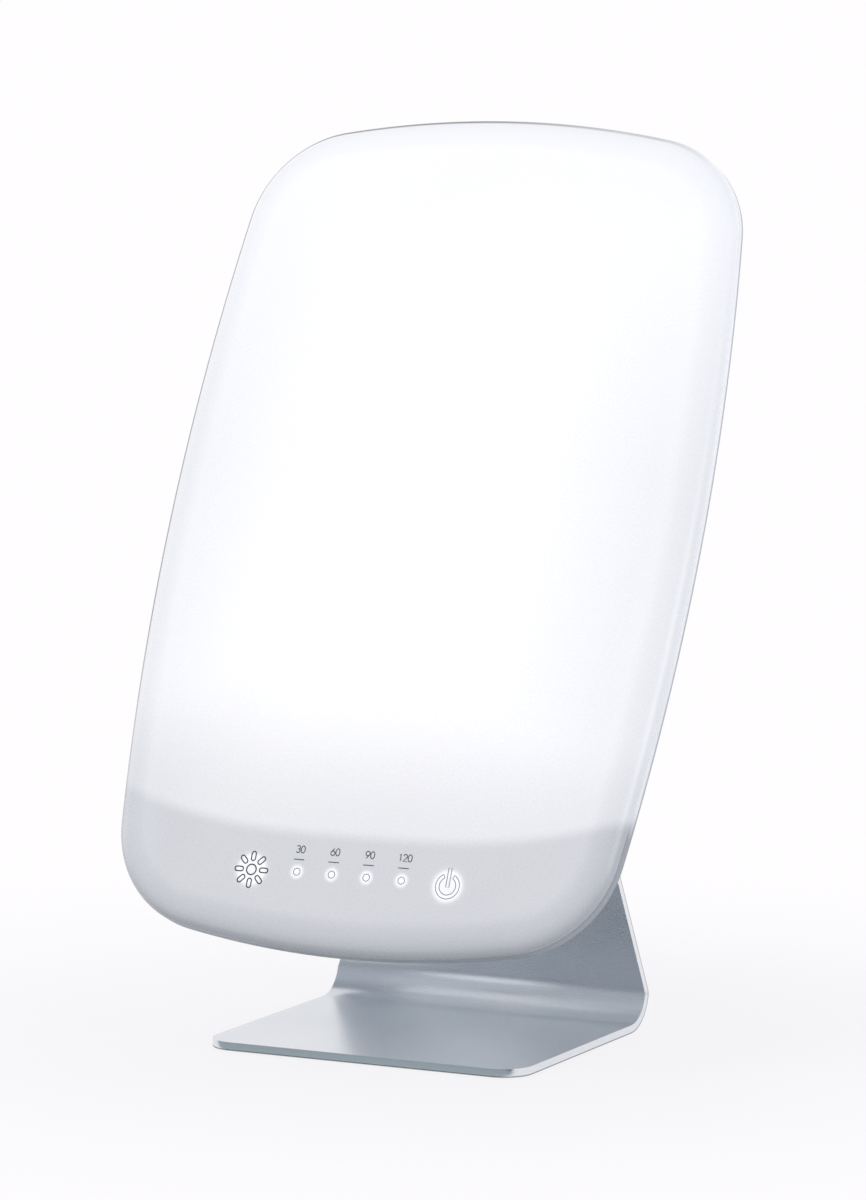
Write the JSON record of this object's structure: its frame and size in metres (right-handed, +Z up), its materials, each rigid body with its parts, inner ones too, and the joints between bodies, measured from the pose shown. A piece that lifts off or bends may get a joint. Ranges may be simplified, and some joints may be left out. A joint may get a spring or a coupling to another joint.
{
  "type": "light therapy lamp",
  "caption": "Desktop light therapy lamp: a tall opal panel with a touch strip at its foot, tilting on a friction hinge over a stand bent from sheet metal.",
  "frame": {"origin": "on the table, under the middle of the whole lamp's box at rest", "axes": "+Z up; the panel faces -Y and leans back towards +Y; +X is to the right for someone who looks at the panel"},
  "size_m": [0.345, 0.2506, 0.5381],
  "materials": {
    "sheet_aluminium": "fine brushed, satin anodised",
    "hinge_steel": "zinc plated",
    "screw_steel": "nickel plated",
    "foot_rubber": "matt",
    "washer_fibre": "filled nylon",
    "opal_cover": "opal, softly glossy, lit from inside above the touch strip",
    "housing_plastic": "fine spark-eroded texture",
    "reflector_enamel": "white enamel",
    "lamp_glass": "phosphor coated inside",
    "cap_plastic": "moulded",
    "clear_plastic": "clear",
    "circuit_board": "solder mask",
    "black_plastic": "moulded",
    "lead_sheath": "soft sheath",
    "contact_foil": "copper foil over foam",
    "pin_brass": "turned"
  },
  "bodies": {
    "stand": {"stand_plate": "sheet_aluminium", "foot_pad_1": "foot_rubber", "foot_pad_2": "foot_rubber", "foot_pad_3": "foot_rubber", "foot_pad_4": "foot_rubber", "hinge_bracket": "hinge_steel", "bracket_screw_1": "screw_steel", "bracket_screw_2": "screw_steel", "bracket_screw_3": "screw_steel", "bracket_screw_4": "screw_steel", "hinge_axle": "hinge_steel", "friction_washer_1": "washer_fibre", "friction_washer_2": "washer_fibre", "disc_spring": "hinge_steel", "lock_nut": "hinge_steel"},
    "lamp_head": {"hinge_knuckle": "hinge_steel", "backing_plate": "hinge_steel", "socket_rail": "hinge_steel", "front_cover": "opal_cover", "rear_housing": "housing_plastic", "light_baffle": "housing_plastic", "reflector_tray": "reflector_enamel", "ballast_board": "circuit_board", "control_board": "circuit_board", "ballast_choke": "black_plastic", "ballast_capacitor": "black_plastic", "power_inlet": "black_plastic", "mains_lead": "black_plastic", "lamp_harness": "lead_sheath", "control_ribbon": "lead_sheath", "knuckle_screw_1": "screw_steel", "light_pipe_1": "clear_plastic", "knuckle_screw_2": "screw_steel", "light_pipe_2": "clear_plastic", "knuckle_screw_3": "screw_steel", "light_pipe_3": "clear_plastic", "knuckle_screw_4": "screw_steel", "light_pipe_4": "clear_plastic", "housing_screw_1": "screw_steel", "housing_screw_2": "screw_steel", "housing_screw_3": "screw_steel", "housing_screw_4": "screw_steel", "housing_screw_5": "screw_steel", "housing_screw_6": "screw_steel", "touch_contact_1": "contact_foil", "inlet_pin_1": "pin_brass", "touch_contact_2": "contact_foil", "inlet_pin_2": "pin_brass", "lamp_tube_1": "lamp_glass", "lamp_cap_1": "cap_plastic", "lamp_socket_1": "cap_plastic", "tube_clip_1": "clear_plastic", "lamp_tube_2": "lamp_glass", "lamp_cap_2": "cap_plastic", "lamp_socket_2": "cap_plastic", "tube_clip_2": "clear_plastic", "lamp_tube_3": "lamp_glass", "lamp_cap_3": "cap_plastic", "lamp_socket_3": "cap_plastic", "tube_clip_3": "clear_plastic"}
  },
  "joints": [
    {"name": "head_tilt", "type": "hinge", "parent": "stand", "child": "lamp_head", "pos_m": [0, 0.0415, 0.2625], "axis": [-1, 0, 0], "range_deg": [-20, 10]}
  ]
}
